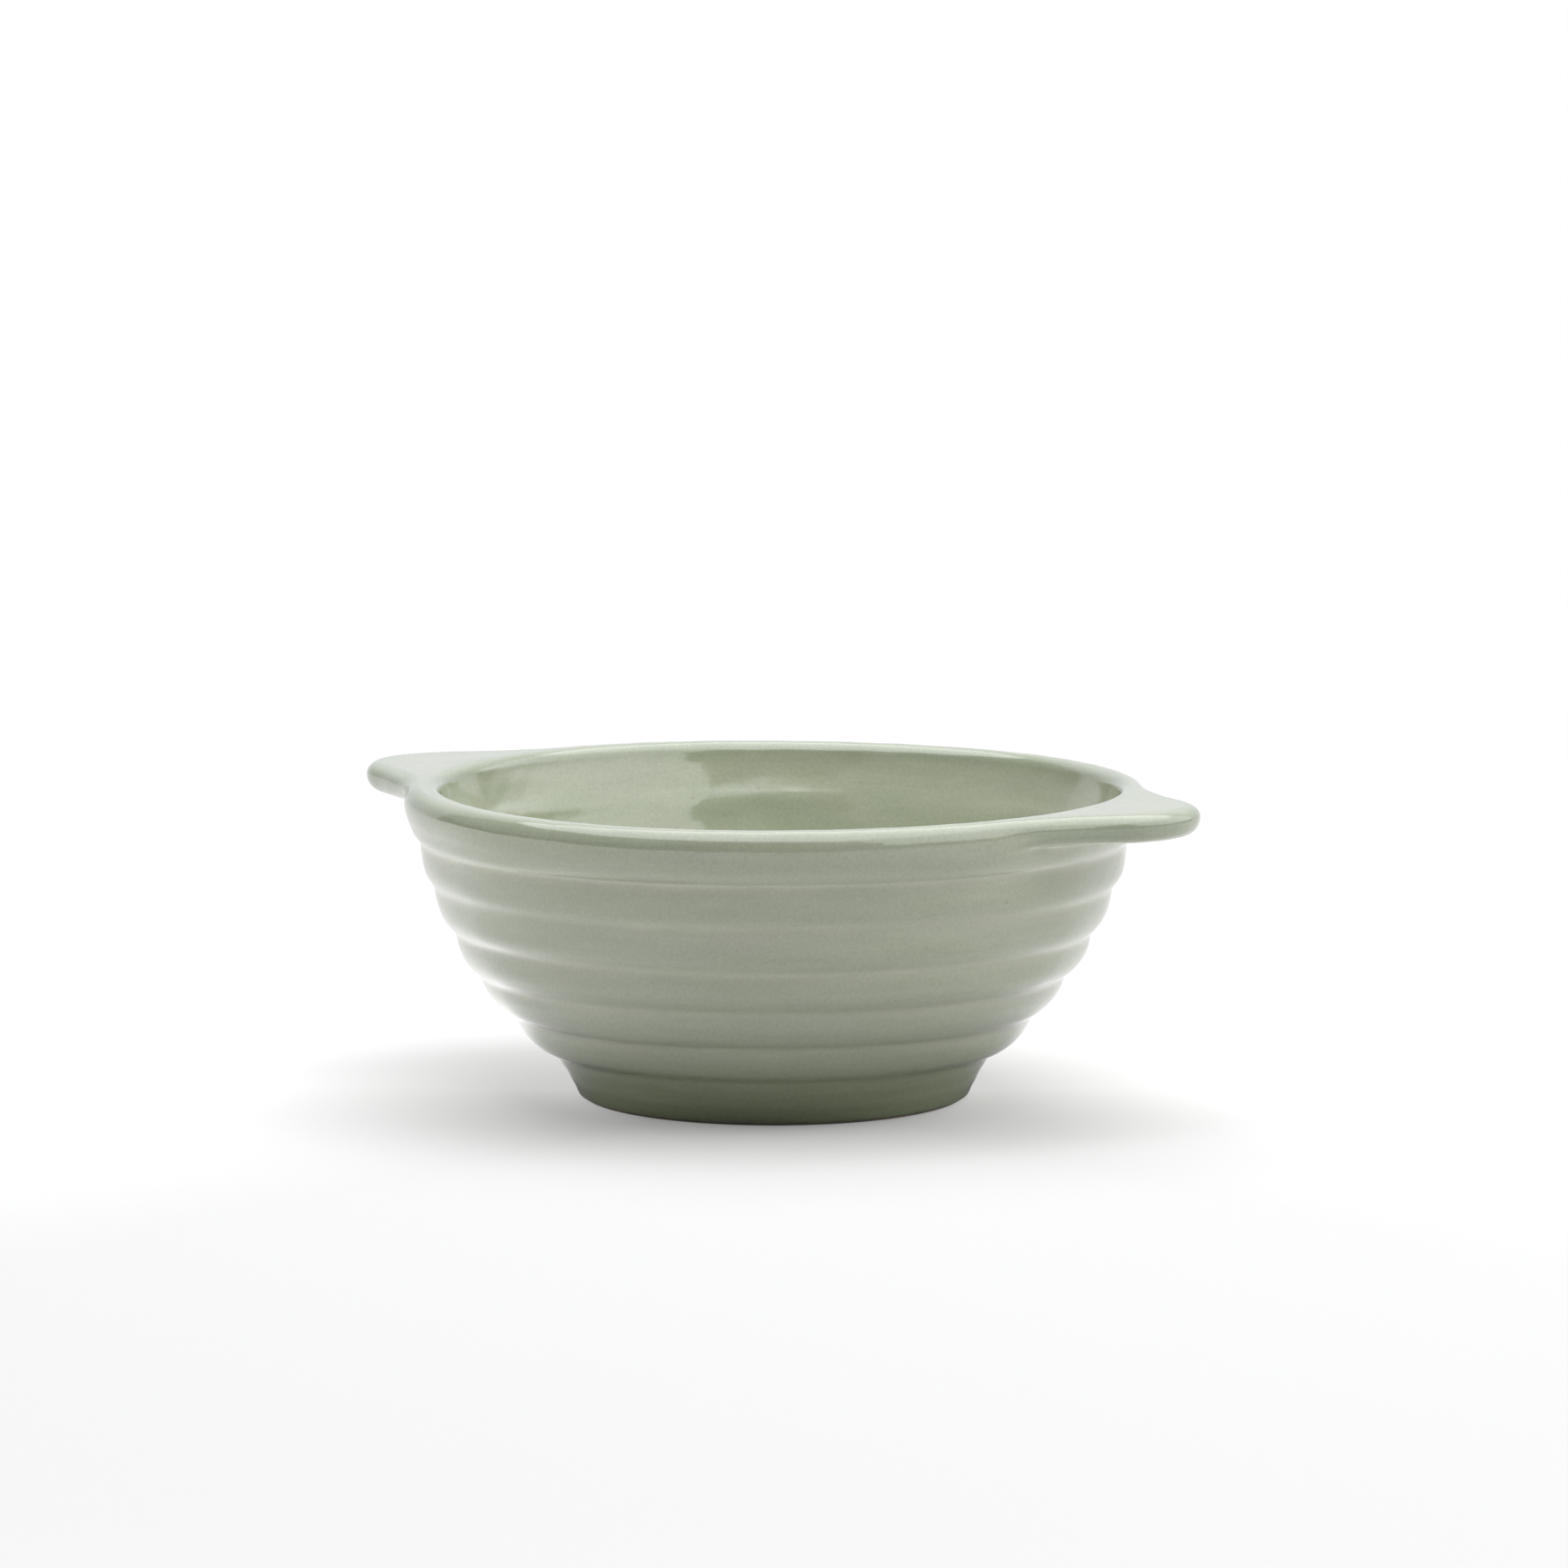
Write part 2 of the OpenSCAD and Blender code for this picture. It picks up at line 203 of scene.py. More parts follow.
def inside_line():
    """The inside from the floor's centre up to the throat's rounding."""
    ridges = [np.array([THROAT_R, THROAT_TURN_Z - THROAT_UPRIGHT_H])]
    rib_leans = [0, *groove_leans]
    for i, groove in enumerate(grooves[:-1]):
        lean = (rib_leans[i] + rib_leans[i + 1]) / 2
        ridges.append(groove + WALL * np.array([-math.cos(lean), math.sin(lean)]))
    line = [np.array([[THROAT_R, THROAT_TURN_Z]]), ridges[0][None]]
    for top, foot in zip(ridges, ridges[1:]):
        lean = line_lean(top, foot)
        line.append(swell(top, foot, (lean - WAVE, lean, lean + WAVE)))
    well_lean = line_lean(ridges[-2], ridges[-1])
    floor_edge = np.array([FLOOR_FLAT_R, FLOOR_Z])
    line.append(swell(ridges[-1], floor_edge, (well_lean, (well_lean + QUARTER) / 2, QUARTER)))
    line.append(np.array([[CENTRE_R, FLOOR_Z]]))
    return np.concatenate(line)[::-1]


BELLY_RUN = RIM_R - RIM_GROOVE[0], RIM_TURN_Z - RIM_GROOVE[1]
BELLY_R = (BELLY_RUN[0] ** 2 + BELLY_RUN[1] ** 2) / (2 * BELLY_RUN[0])


def belly(z, widest_z):
    """Radius of the curve under the rim at a height, drawn out to start at the rim's widest line."""
    drop = np.clip((widest_z - z) / (widest_z - RIM_GROOVE[1]), 0, 1) * BELLY_RUN[1]
    return RIM_R - BELLY_R + np.sqrt(BELLY_R ** 2 - drop ** 2)


# Plan of the rim and the lugs

LUG_TIP_X = RIM_R + LUG_OUT - LUG_TIP_R
FLANK_X = ((RIM_R + LUG_FLANK_R) ** 2 - (LUG_TIP_R + LUG_FLANK_R) ** 2 + LUG_TIP_X ** 2) / (2 * LUG_TIP_X)
FLANK_Y = math.sqrt((RIM_R + LUG_FLANK_R) ** 2 - FLANK_X ** 2)
ROOT = math.atan2(FLANK_Y, FLANK_X)
TIP = math.atan2(FLANK_Y, FLANK_X - LUG_TIP_X)


def facings(turns):
    """Level directions, one for each angle from +X."""
    return np.stack([np.cos(turns), np.sin(turns)], axis=1)


def eased(share):
    """A rise from 0 to 1 that starts and ends gently."""
    share = np.clip(share, 0, 1)
    return share * share * (3 - 2 * share)


def lug_outline():
    """The +X lug from its -Y root to its +Y root: points, outward directions, and two shares, of which the
    first says how round it is below and the second how much of a lug it is."""
    flank_facing = facings(np.linspace(ROOT, TIP, COLUMNS_FLANK + 1)[:-1])
    flank = np.array([FLANK_X, FLANK_Y]) - LUG_FLANK_R * flank_facing
    tip_facing = facings(np.linspace(-TIP, TIP, COLUMNS_TIP + 1))
    tip = np.array([LUG_TIP_X, 0]) + LUG_TIP_R * tip_facing
    mirrored = np.array([1, -1])
    points = np.concatenate([flank * mirrored, tip, flank[::-1]])
    run = np.linspace(0, 1, COLUMNS_FLANK + 1)[:-1]
    fades = [np.concatenate([eased(run / share), np.ones(COLUMNS_TIP + 1), eased(run / share)[::-1]])
             for share in (UNDER_FADE_SHARE, LUG_FADE_SHARE)]
    return points, np.concatenate([flank_facing * mirrored, tip_facing, flank_facing[::-1]]), *fades


def plan():
    """The outline of the rim and both lugs: points, outward directions, and the lugs' two shares."""
    lug, lug_facing, under, share = lug_outline()
    plain_facing = facings(np.linspace(ROOT, math.pi - ROOT, COLUMNS_PLAIN + 1)[1:-1])
    plain = np.zeros(len(plain_facing))
    points = np.concatenate([lug, RIM_R * plain_facing, -lug, -RIM_R * plain_facing])
    facing = np.concatenate([lug_facing, plain_facing, -lug_facing, -plain_facing])
    return points, facing, np.concatenate([under, plain] * 2), np.concatenate([share, plain] * 2)


outline, facing, round_share, lug_share = plan()
spokes = facings(np.arctan2(outline[:, 1], outline[:, 0]))
COLUMNS = len(spokes)
widest_z = BOWL_H - RIM_EDGE_H + (RIM_EDGE_H - LUG_EDGE_H) * lug_share


# Rows of points, one for each column

def turned(line):
    """A profile swept round the axis."""
    line = np.asarray(line)
    rows = np.empty((len(line), COLUMNS, 3))
    rows[:, :, :2] = line[:, 0, None, None] * spokes[None]
    rows[:, :, 2] = line[:, 1, None]
    return rows


def level_row(places, z):
    """One row of points at a height, or at each column's own height."""
    return np.concatenate([places, np.broadcast_to(z, COLUMNS)[:, None]], axis=1)


def throat_line():
    """The rounded edge from the throat up to the crest."""
    turns = np.linspace(math.pi, QUARTER, ROWS_THROAT + 1)[1:]
    return np.array([CREST_R, THROAT_TURN_Z]) + THROAT_EDGE_R * facings(turns)


def top_shares():
    """How far out across the top each row lies, closer together toward the edge."""
    return 1 - (1 - np.linspace(0, 1, ROWS_TOP + 1)[1:]) ** TOP_CROWDING


def top_rows():
    """The crest, and the flat top of the lugs, out to the rounded edge."""
    crest = CREST_R * spokes
    edge = outline - RIM_EDGE_R * facing
    return np.stack([level_row(crest + share * (edge - crest), BOWL_H) for share in top_shares()])


def edge_rows():
    """The rounded upper edge of the rim and the lugs."""
    turns = np.linspace(QUARTER, 0, ROWS_EDGE + 1)[1:]
    return np.stack([level_row(outline - RIM_EDGE_R * (1 - math.cos(a)) * facing,
                               widest_z + (BOWL_H - widest_z) * math.sin(a)) for a in turns])


def side_rows():
    """From the rim's widest line down over the lugs' sides and undersides to the rim's groove."""
    under_z = BOWL_H - LUG_T
    side_z = np.minimum(under_z + LUG_UNDER_R, widest_z)
    path = [level_row(outline, widest_z + share * (side_z - widest_z))
            for share in np.linspace(0, 1, STEPS_EDGE_SIDE + 1)]
    for a in np.linspace(0, QUARTER, STEPS_EDGE_UNDER + 1)[1:]:
        inset = LUG_UNDER_R * (1 - math.cos(a)) * round_share[:, None]
        path.append(level_row(outline - inset * facing, side_z + (under_z - side_z) * math.sin(a)))
    start = outline - LUG_UNDER_R * round_share[:, None] * facing
    end = belly(under_z, widest_z)[:, None] * spokes
    for share in np.linspace(0, 1, STEPS_UNDERSIDE + 1)[1:]:
        path.append(level_row(start + share * (end - start), under_z))
    for z in np.linspace(under_z, RIM_GROOVE[1], STEPS_BELLY + 1)[1:]:
        path.append(level_row(belly(z, widest_z)[:, None] * spokes, z))
    path = np.stack(path)
    reach = np.linalg.norm(path[:, :, :2], axis=2)
    least = belly(path[:, :, 2], widest_z)
    wanted = least + lug_share * np.maximum(reach - least, 0)
    path[:, :, :2] *= (wanted / reach)[:, :, None]
    return np.stack([spaced(path[:, j], ROWS_SIDE) for j in range(COLUMNS)], axis=1)[1:]


def smooth_rows(rows, passes):
    """Softens the corners between rows, as a glaze does, or spreads a value over the rows."""
    for _ in range(passes):
        rows[1:-1] = (rows[:-2] + 2 * rows[1:-1] + rows[2:]) / 4
    return rows


# How the bowl in the photograph strays from a regular one, in millimetres. A zone is two heights: what it
# rules is nothing at the first and full at the second. Where it has a second pair, it fades there again.

RIM_ZONE = 30, 60
RIM_LIFT = 0.10
RIM_SADDLE = 0.22
RIM_TILT = 0.16
RIM_TILT_TURN = 2.97
RIM_WAVER = 0.08
BODY_ZONE = 8, 20
BODY_LIFT = 0.2
GROOVE_ZONE = (1, 8), (6, 42)
GROOVE_LIFT = 1.15

OVAL_ZONE = 15, 45
OVAL_MEAN = 0.12
OVAL = 0.13
OVAL_WAVER = 0.05
OVAL_WAVER_TURN = 2.1
THROAT_ZONE = 44, 58
THROAT_RIGHT = 0.4
THROAT_LEFT = 1.6
RIM_SIDE_ZONE = 50.5, 55
RIM_LEFT = 1.1
RIM_LEFT_FADE = 6.0
LOW_ZONE = (2, 9), (22, 38)
LOW_FULLNESS = 0.55
LOW_LEAN = 0.2
WHEEL_RING_ZONE = (30, 50), (50.8, 52.2)
WHEEL_RING_STEP = 0.38
WHEEL_RING_WAVER = 0.15
WHEEL_RING_WAVER_TURN = 0.7
FOOT_ZONE = (1, 2), (6.5, 8)
FOOT_MARKS = 0.05
FOOT_MARKS_PER_MM = 2.4
FOOT_MARKS_DRIFT = 0.5

# Where the changes on the camera's left start and are full, as how far to the left a point lies
THROAT_LEFT_SHARES = 0.1, 1
RIM_LEFT_SHARES = 0.4, 0.95

# Ripples of the ribs, up and outward: amount, count round the bowl, drift with height, and phase
RIB_ZONE = (6, 14), (50, 58)
RIPPLES_UP = [(0.10, 1, 0.35, 0.0), (0.06, 4, -0.5, 1.0)]
RIPPLES_OUT = [(0.05, 7, 0.8, 0.0), (0.04, 11, -0.33, 0.0)]

# Slow waves of the glaze: amount, waves along X, Y and Z, and phase. The inside has more of them.
GLAZE_WAVES = [(0.018, 0.42, 0.23, 0.31, 0.0), (0.014, -0.52, 0.31, 0.6, 1.7), (0.010, 0.47, 0.83, -0.9, 0.4)]
INSIDE_WAVES = 1.2
CREST_ZONE = 56, 60

# Distances from the axis: nothing moves in or out within the first, and all of it does beyond the second
STILL_ZONE = 5, 30


def ramp(value, low, high):
    """0 under low, 1 over high, and a smooth rise between."""
    return eased((value - low) / (high - low))


def between(value, rise, fall):
    """1 between a rise and a fall, and 0 beyond them."""
    return ramp(value, *rise) * (1 - ramp(value, *fall))


def inner_share(count):
    """1 for the rows inside the bowl, 0 for the rows outside, and a fall between them over the crest."""
    share = np.zeros(count)
    crest = ROWS_INSIDE + 1 + ROWS_THROAT
    share[:crest] = 1
    share[crest:crest + ROWS_TOP] = 1 - top_shares()
    return share[:, None]


def ripples(terms, turn, z):
    """Ripples that run round the bowl and drift with height."""
    return sum(amount * np.sin(count * turn + drift * z + phase) for amount, count, drift, phase in terms)


def strays_up(turn, z, inner):
    """How far points lie above a regular bowl's."""
    rim = (RIM_LIFT + RIM_SADDLE * np.cos(2 * turn) + RIM_TILT * np.cos(turn - RIM_TILT_TURN)
           - RIM_WAVER * np.cos(3 * turn))
    lower_grooves = GROOVE_LIFT * between(z, *GROOVE_ZONE) * (1 - inner)
    ribs = between(z, *RIB_ZONE) * ripples(RIPPLES_UP, turn, z)
    return ramp(z, *RIM_ZONE) * rim + BODY_LIFT * ramp(z, *BODY_ZONE) + lower_grooves + ribs


def strays_out(turn, z, reach, inner):
    """How far points lie outside a regular bowl's."""
    seen = turn - CAMERA_AZIMUTH
    right = np.cos(seen)
    left = -right
    oval = OVAL_MEAN + OVAL * np.cos(2 * seen) + OVAL_WAVER * np.sin(5 * turn + OVAL_WAVER_TURN)
    throat = THROAT_RIGHT * right - THROAT_LEFT * ramp(left, *THROAT_LEFT_SHARES)
    off_lug = 1 - ramp(reach, RIM_R, RIM_R + RIM_LEFT_FADE)
    rim = RIM_LEFT * ramp(left, *RIM_LEFT_SHARES) * off_lug
    lower_ribs = LOW_FULLNESS - LOW_LEAN * right
    wheel_ring = WHEEL_RING_STEP * (1 + WHEEL_RING_WAVER * np.sin(2 * turn + WHEEL_RING_WAVER_TURN))
    foot = FOOT_MARKS * np.sin(FOOT_MARKS_PER_MM * z + FOOT_MARKS_DRIFT * np.sin(turn))
    inside = ramp(z, *THROAT_ZONE) * throat - between(z, *WHEEL_RING_ZONE) * wheel_ring
    outside = between(z, *LOW_ZONE) * lower_ribs - ramp(z, *RIM_SIDE_ZONE) * rim
    both = ramp(z, *OVAL_ZONE) * oval + between(z, *FOOT_ZONE) * foot
    both += between(z, *RIB_ZONE) * ripples(RIPPLES_OUT, turn, z)
    return both + inside * inner + outside * (1 - inner)


def handmade(rows):
    """Moves a regular bowl's points as the bowl in the photograph strays: up to 2 mm in at the throat, and
    about 1 mm elsewhere. The coat stands for the clay too, which is hidden, so it may cross it."""
    x, y, z = rows[..., 0], rows[..., 1], rows[..., 2]
    turn = np.arctan2(y, x)
    reach = np.maximum(np.hypot(x, y), TINY)
    inner = inner_share(len(rows))
    waves = sum(amount * np.sin(along_x * x + along_y * y + along_z * z + phase)
                for amount, along_x, along_y, along_z, phase in GLAZE_WAVES)
    waves *= 1 + INSIDE_WAVES * inner * (1 - ramp(z, *CREST_ZONE))
    out = (strays_out(turn, z, reach, inner) + waves) * ramp(reach, *STILL_ZONE)
    grow = 1 + out / reach
    return np.stack([x * grow, y * grow, z + strays_up(turn, z, inner) + waves], axis=-1)


# Meshes

def grid_faces(count, columns):
    """Quads between rows of points that close on themselves."""
    i = np.arange(count - 1)[:, None] * columns
    j = np.arange(columns)[None]
    k = (j + 1) % columns
    quads = np.stack([i + j, i + k, i + columns + k, i + columns + j], axis=-1)
    return quads.reshape(-1, 4).tolist()


def closed_grid(rows):
    """Points and faces of rows that close on themselves, with a fan over the first row and the last."""
    count, columns = rows.shape[:2]
    points = rows.reshape(-1, 3)
    ends = np.stack([rows[0].mean(axis=0), rows[-1].mean(axis=0)])
    points = np.concatenate([points, ends])
    faces = grid_faces(count, columns)
    first, last = len(points) - 2, len(points) - 1
    base = (count - 1) * columns
    faces += [[first, (j + 1) % columns, j] for j in range(columns)]
    faces += [[last, base + j, base + (j + 1) % columns] for j in range(columns)]
    return points, faces


def hoop_grid(rows):
    """Points and faces of rows that close on themselves, where the last row also meets the first."""
    count, columns = rows.shape[:2]
    faces = grid_faces(count, columns)
    base = (count - 1) * columns
    faces += [[base + j, base + (j + 1) % columns, (j + 1) % columns, j] for j in range(columns)]
    return rows.reshape(-1, 3), faces


def make_piece(name, grid, material, replaced):
    """A smooth piece that rides on the body, in metres."""
    points, faces = grid
    mesh = bpy.data.meshes.new(name)
    mesh.from_pydata((points * MM).tolist(), [], faces)
    mesh.update()
    mesh.materials.append(material)
    mesh.polygons.foreach_set("use_smooth", [True] * len(mesh.polygons))
    piece = bpy.data.objects.new(name, mesh)
    bpy.context.scene.collection.objects.link(piece)
    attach(piece, "root")
    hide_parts(*replaced)
    return piece


# Materials. The colours are linear red, green and blue.

# The glaze's colour by how thick it lies, with painted highlight on the edges and painted shade in the
# grooves: 0 over sharp edges, 0.5 on plain walls, 1 in deep grooves
GLAZE_SHADE_STOPS = [
    (0.00, (0.520, 0.540, 0.415)),
    (0.30, (0.430, 0.456, 0.340)),
    (0.52, (0.385, 0.415, 0.305)),
    (0.80, (0.335, 0.374, 0.268)),
    (1.00, (0.300, 0.345, 0.245)),
]
GLAZE_WARM = (0.385, 0.390, 0.335)
GLAZE_COOL = (0.330, 0.390, 0.300)
MOTTLE_SHARE = 0.30
STREAK_SHARE = 0.10
GLAZE_SPECK = (0.17, 0.17, 0.12)
SPECK_SHARE = 0.25
SPECK_PIT_SHARE = 0.4
GLAZE_ROUGHNESS = 0.055, 0.095
GLAZE_IOR = 1.52
# The glaze's thickness in the recess, on the scale that also paints highlight and shade
RECESS_POOL_AND_SHADE = 0.55

# The greener glaze at the foot, as a tint, and the heights in metres where it is full and where it ends
FOOT_TINT = (0.99, 1.03, 0.86)
FOOT_TINT_ZONE = 0.006, 0.018

# How fine each pattern in the glaze is, and how much the wider ones are flattened
WARM_SCALE = 34
COOL_SCALE = 22
STREAK_SCALE = 60
GRAIN_SCALE = 1500
SPECK_SCALE = 190
UNEVEN_SCALE = 190
WARM_FLAT = (1, 1, 3.2)
COOL_FLAT = (1, 1, 2)
STREAK_FLAT = (1, 1, 9)

# Where in a pattern its effect starts and where it is full
NOISE_SPAN = 0.3, 0.7
WARM_SPAN = 0.42, 0.72
COOL_SPAN = 0.50, 0.75
SPECK_CHOICE = 0.93, 0.94
SPECK_SIZE = 0.05, 0.10

# How dark and how bright the grain makes the glaze, and the strength and depth in metres of its bump
GLAZE_GRAIN = 0.90, 1.08
GLAZE_BUMP = 0.12, 0.00025

# The bare clay: its colours along a pattern, how fine its patterns are, its grain, roughness and bump
CLAY_STOPS = [(0.3, (0.56, 0.47, 0.36)), (0.7, (0.66, 0.58, 0.47))]
CLAY_PATCH_SCALE = 60
CLAY_GRAIN_SCALE = 1800
CLAY_GRAIN = 0.84, 1.08
CLAY_ROUGHNESS = 0.72, 0.9
CLAY_BUMP = 0.35, 0.0003


class Nodes:
    """A node tree, with short calls to fill it."""

    def __init__(self, tree):
        self.tree = tree
        self.shader = tree.nodes.get("Principled BSDF")

    def add(self, kind, **settings):
        node = self.tree.nodes.new(kind)
        for key, value in settings.items():
            setattr(node, key, value)
        return node

    def join(self, source, target):
        self.tree.links.new(source, target)

    def fill(self, socket, value):
        if isinstance(value, (int, float)):
            socket.default_value = value
        elif isinstance(value, tuple):
            socket.default_value = (*value, 1)
        else:
            self.join(value, socket)

    def part(self, colour):
        """A colour's red."""
        node = self.add("ShaderNodeSeparateColor")
        self.join(colour, node.inputs["Color"])
        return node.outputs[0]

    def noise(self, place, scale, detail=3.0, rough=0.5):
        node = self.add("ShaderNodeTexNoise")
        self.join(place, node.inputs["Vector"])
        node.inputs["Scale"].default_value = scale
        node.inputs["Detail"].default_value = detail
        node.inputs["Roughness"].default_value = rough
        return node.outputs["Fac"]

    def scaled(self, place, scale):
        node = self.add("ShaderNodeMapping")
        self.join(place, node.inputs["Vector"])
        node.inputs["Scale"].default_value = scale
        return node.outputs["Vector"]

    def ramp(self, value, stops):
        node = self.add("ShaderNodeValToRGB")
        self.join(value, node.inputs["Fac"])
        marks = node.color_ramp.elements
        while len(marks) < len(stops):
            marks.new(0.5)
        for mark, (place, colour) in zip(marks, stops):
            mark.position = place
            mark.color = (*colour, 1)
        return node.outputs["Color"]

    def span(self, value, low, high, to_low=0.0, to_high=1.0, kind="LINEAR"):
        node = self.add("ShaderNodeMapRange", interpolation_type=kind)
        self.join(value, node.inputs["Value"])
        node.inputs["From Min"].default_value = low
        node.inputs["From Max"].default_value = high
        self.fill(node.inputs["To Min"], to_low)
        self.fill(node.inputs["To Max"], to_high)
        return node.outputs["Result"]

    def math(self, operation, first, second=0.0):
        node = self.add("ShaderNodeMath", operation=operation)
        self.fill(node.inputs[0], first)
        self.fill(node.inputs[1], second)
        return node.outputs["Value"]

    def mix(self, factor, first, second, kind="MIX"):
        node = self.add("ShaderNodeMix", data_type="RGBA", blend_type=kind)
        sockets = node.inputs["Factor"], node.inputs[6], node.inputs[7]
        for socket, value in zip(sockets, (factor, first, second)):
            self.fill(socket, value)
        return node.outputs[2]

    def grained(self, colour, grain, dark, bright, low=0.25, high=0.75):
        """A colour made a little darker and brighter by a grain."""
        grey = self.ramp(grain, [(low, (dark,) * 3), (high, (bright,) * 3)])
        return self.mix(1.0, colour, grey, "MULTIPLY")

    def either(self, factor, first, second):
        """Mixes two shaders."""
        node = self.add("ShaderNodeMixShader")
        self.join(factor, node.inputs[0])
        self.join(first, node.inputs[1])
        self.join(second, node.inputs[2])
        return node.outputs[0]

    def toward(self, place, direction):
        """How far a place lies along a direction."""
        node = self.add("ShaderNodeVectorMath", operation="DOT_PRODUCT")
        self.join(place, node.inputs[0])
        node.inputs[1].default_value = direction
        return node.outputs["Value"]

    def bump(self, height, strength, distance):
        node = self.add("ShaderNodeBump")
        node.inputs["Strength"].default_value = strength
        node.inputs["Distance"].default_value = distance
        self.join(height, node.inputs["Height"])
        self.join(node.outputs["Normal"], self.shader.inputs["Normal"])

    def place(self):
        return self.add("ShaderNodeTexCoord").outputs["Object"]


def new_material(name):
    """A new material and its node tree."""
    material = bpy.data.materials.new(name)
    material.use_nodes = True
    return material, Nodes(material.node_tree)


def glaze_material():
    """Sage glaze: thin and warm over the edges, lighter there as painted highlight, thick and green in the
    grooves, darker there as painted shade, and green at the foot.
    """
    material, nodes = new_material("sage_glaze")
    place = nodes.place()
    # Thickness of the glaze, which also paints highlight on the edges and shade in the grooves
    pool_and_shade = nodes.add("ShaderNodeAttribute", attribute_name="pool_and_shade").outputs["Fac"]
    warm = nodes.noise(nodes.scaled(place, WARM_FLAT), WARM_SCALE, detail=4)
    streaks = nodes.noise(nodes.scaled(place, STREAK_FLAT), STREAK_SCALE)
    depth_and_shade = nodes.math("ADD", pool_and_shade, nodes.span(streaks, *NOISE_SPAN, -STREAK_SHARE, STREAK_SHARE))
    colour = nodes.ramp(depth_and_shade, GLAZE_SHADE_STOPS)
    colour = nodes.mix(nodes.span(warm, *WARM_SPAN, 0.0, MOTTLE_SHARE), colour, GLAZE_WARM)
    cool = nodes.noise(nodes.scaled(place, COOL_FLAT), COOL_SCALE)
    colour = nodes.mix(nodes.span(cool, *COOL_SPAN, 0.0, MOTTLE_SHARE), colour, GLAZE_COOL)
    low = nodes.span(nodes.toward(place, (0, 0, 1)), *FOOT_TINT_ZONE, 1.0, 0.0)
    colour = nodes.mix(low, colour, FOOT_TINT, "MULTIPLY")
    colour = nodes.grained(colour, nodes.noise(place, GRAIN_SCALE, detail=2, rough=0.7), *GLAZE_GRAIN)

    cells = nodes.add("ShaderNodeTexVoronoi")
    cells.inputs["Scale"].default_value = SPECK_SCALE
    nodes.join(place, cells.inputs["Vector"])
    chosen = nodes.span(nodes.part(cells.outputs["Color"]), *SPECK_CHOICE)
    speck = nodes.math("MULTIPLY", nodes.span(cells.outputs["Distance"], *SPECK_SIZE, 1.0, 0.0), chosen)
    colour = nodes.mix(nodes.math("MULTIPLY", speck, SPECK_SHARE), colour, GLAZE_SPECK)

    nodes.join(colour, nodes.shader.inputs["Base Color"])
    nodes.join(nodes.span(warm, *NOISE_SPAN, *GLAZE_ROUGHNESS), nodes.shader.inputs["Roughness"])
    nodes.shader.inputs["IOR"].default_value = GLAZE_IOR
    pits = nodes.math("MULTIPLY", speck, -SPECK_PIT_SHARE)
    height = nodes.math("ADD", nodes.noise(place, UNEVEN_SCALE, detail=2), pits)
    nodes.bump(height, *GLAZE_BUMP)
    return material


def clay_material():
    """Bare fired stoneware: pale, sandy and matt."""
    material, nodes = new_material("bare_clay")
    place = nodes.place()
    colour = nodes.ramp(nodes.noise(place, CLAY_PATCH_SCALE, detail=4), CLAY_STOPS)
    grain = nodes.noise(place, CLAY_GRAIN_SCALE, rough=0.7)
    colour = nodes.grained(colour, grain, *CLAY_GRAIN, *NOISE_SPAN)
    nodes.join(colour, nodes.shader.inputs["Base Color"])
    nodes.join(nodes.span(grain, *NOISE_SPAN, *CLAY_ROUGHNESS), nodes.shader.inputs["Roughness"])
    nodes.bump(grain, *CLAY_BUMP)
    return material


glaze = glaze_material()
clay = clay_material()

# The glaze over the whole bowl. It turns in under the foot band as a rounded lip, and closes inside the foot,
# where the ring and the glaze in the recess hide it.

LIP_W = 0.5
LIP_DROP = 0.2
CLOSING_LOW_IN = 2.5
CLOSING_LOW_Z = 1.6
CLOSING_HIGH_IN = 3.5
CLOSING_HIGH_Z = FOOT_RECESS_H + 1.2
CLOSING_TOP_Z = FOOT_RECESS_H + 2.2
CLOSING_TOP_R = 20.0
CLOSING_CENTRE_R = 2.0


def lip_line():
    """The rounded lower edge of the glaze."""
    turns = np.linspace(0, QUARTER, ROWS_LIP + 1)[1:]
    return foot_line()[-1] + np.stack([LIP_W * (np.cos(turns) - 1), -LIP_DROP * np.sin(turns)], axis=1)


def closing_line():
    """The hidden inside of the coat, from the foot band up and in to the middle."""
    return [(FOOT_R - CLOSING_LOW_IN, CLOSING_LOW_Z), (FOOT_R - CLOSING_HIGH_IN, CLOSING_HIGH_Z),
            (CLOSING_TOP_R, CLOSING_TOP_Z), (CLOSING_CENTRE_R, CLOSING_TOP_Z)]


soft = smooth_rows(np.concatenate([
    turned(spaced(inside_line(), ROWS_INSIDE)),
    turned(throat_line()),
    top_rows(),
    edge_rows(),
    side_rows(),
    turned(spaced(rib_line(), ROWS_RIBS)[1:]),
    turned(spaced(foot_line(), ROWS_FOOT)[1:]),
]), SMOOTHING_PASSES)
skin = np.concatenate([handmade(soft), turned(lip_line()), turned(closing_line())])

# The bend per millimetre that counts as sharp, the least step between rows, and how far a bend is spread
SHARP_BEND = 0.5
LEAST_STEP = 0.2
BEND_PASSES = 6


